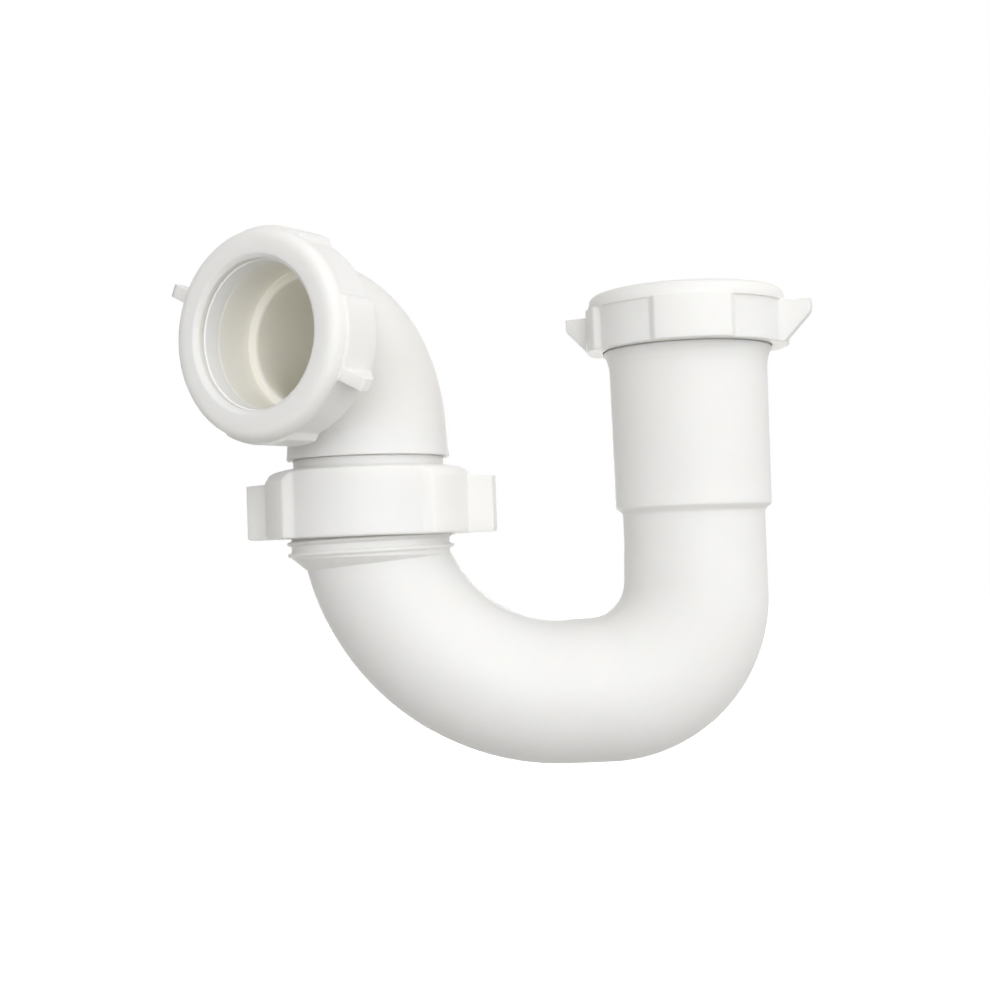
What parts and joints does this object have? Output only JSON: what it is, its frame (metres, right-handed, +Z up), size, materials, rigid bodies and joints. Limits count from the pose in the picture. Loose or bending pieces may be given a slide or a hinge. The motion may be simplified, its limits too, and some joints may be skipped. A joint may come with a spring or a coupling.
{
  "type": "p trap",
  "caption": "White plastic sink trap: a J shaped bend with slip joint inlet, a union nut and a swivelling outlet elbow with slip joint outlet.",
  "frame": {"origin": "on the inlet axis, at the top of the straight inlet bore, 1.6 mm below the mouth of the socket", "axes": "+Z up along the inlet axis, +X from the swivel joint towards the inlet, +Y away from the outlet side; the trap bend lies in the XZ plane"},
  "size_m": [0.1752, 0.0817, 0.1462],
  "materials": {
    "moulding": "satin white polypropylene",
    "nut": "satin white polypropylene",
    "washer": "soft milky polyethylene"
  },
  "bodies": {
    "bend": {"trap_bend": "moulding"},
    "inlet_seal": {"inlet_washer": "washer"},
    "inlet_ring": {"inlet_nut": "nut"},
    "union_seal": {"union_washer": "washer"},
    "union_ring": {"union_nut": "nut"},
    "elbow": {"outlet_elbow": "moulding", "union_tailpiece": "moulding"},
    "outlet_seal": {"outlet_washer": "washer"},
    "outlet_ring": {"outlet_nut": "nut"}
  },
  "joints": [
    {"name": "inlet_washer_lift", "type": "slide", "parent": "bend", "child": "inlet_seal", "axis": [0, 0, 1], "range_m": [0, 0.00794]},
    {"name": "inlet_nut_turn", "type": "hinge", "parent": "inlet_seal", "child": "inlet_ring", "pos_m": [0, 0, 0], "axis": [0, 0, 1], "range_deg": [0, 900]},
    {"name": "union_washer_lift", "type": "slide", "parent": "bend", "child": "union_seal", "axis": [0, 0, 1], "range_m": [0, 0.00794]},
    {"name": "union_nut_turn", "type": "hinge", "parent": "union_seal", "child": "union_ring", "pos_m": [-0.091, 0, -0.05], "axis": [0, 0, 1], "range_deg": [0, 900]},
    {"name": "elbow_swivel", "type": "hinge", "parent": "union_seal", "child": "elbow", "pos_m": [-0.091, 0, -0.03], "axis": [0, 0, 1], "continuous": true},
    {"name": "outlet_washer_slide", "type": "slide", "parent": "elbow", "child": "outlet_seal", "axis": [-0.5707, -0.8211, 0], "range_m": [0, 0.00794]},
    {"name": "outlet_nut_turn", "type": "hinge", "parent": "outlet_seal", "child": "outlet_ring", "pos_m": [-0.11383, -0.03285, -0.0044], "axis": [-0.5707, -0.8211, 0], "range_deg": [0, 900]}
  ],
  "couplings": [
    {"joint": "inlet_washer_lift", "follows": "inlet_nut_turn", "m_per_rad": 0.00050532},
    {"joint": "union_washer_lift", "follows": "union_nut_turn", "m_per_rad": 0.00050532},
    {"joint": "outlet_washer_slide", "follows": "outlet_nut_turn", "m_per_rad": 0.00050532}
  ]
}
